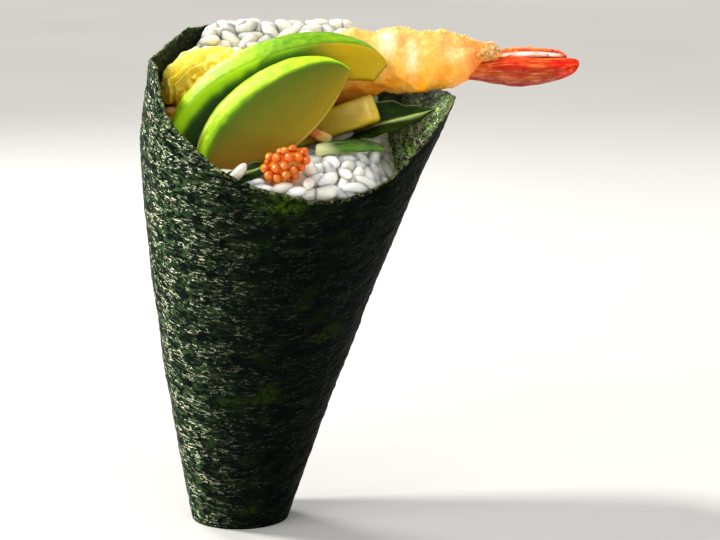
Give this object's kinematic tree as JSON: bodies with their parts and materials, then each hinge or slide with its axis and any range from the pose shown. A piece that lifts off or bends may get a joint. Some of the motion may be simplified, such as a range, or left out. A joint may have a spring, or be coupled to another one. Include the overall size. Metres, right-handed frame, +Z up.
{
  "type": "hand roll",
  "caption": "Leaning nori cone standing on its blunt end, filled with rice, a fried prawn, avocado slices, roe, a yellow baton, leaves and scallion.",
  "frame": {"origin": "centre of the flat blunt end that the roll stands on", "axes": "+Z up, +X towards the side where the prawn's tail sticks out, -Y towards the low front of the mouth"},
  "size_m": [0.1111, 0.0625, 0.1281],
  "materials": {
    "nori_sheet": "satin",
    "cooked_rice": "satin",
    "fried_batter": "matte",
    "tail_shell": "gloss",
    "avocado_flesh": "satin",
    "roe_orange": "gloss",
    "baton_flesh": "satin",
    "cooked_meat": "satin",
    "leaf_green": "satin",
    "scallion_green": "satin"
  },
  "bodies": {
    "root": {"nori": "nori_sheet", "rice": "cooked_rice", "shrimp_body": "fried_batter", "shrimp_tail": "tail_shell", "avocado_front": "avocado_flesh", "avocado_back": "avocado_flesh", "roe": "roe_orange", "radish_baton": "baton_flesh", "crab_piece": "cooked_meat", "leaf": "leaf_green", "leaf_end": "leaf_green", "scallion": "scallion_green"}
  },
  "joints": []
}
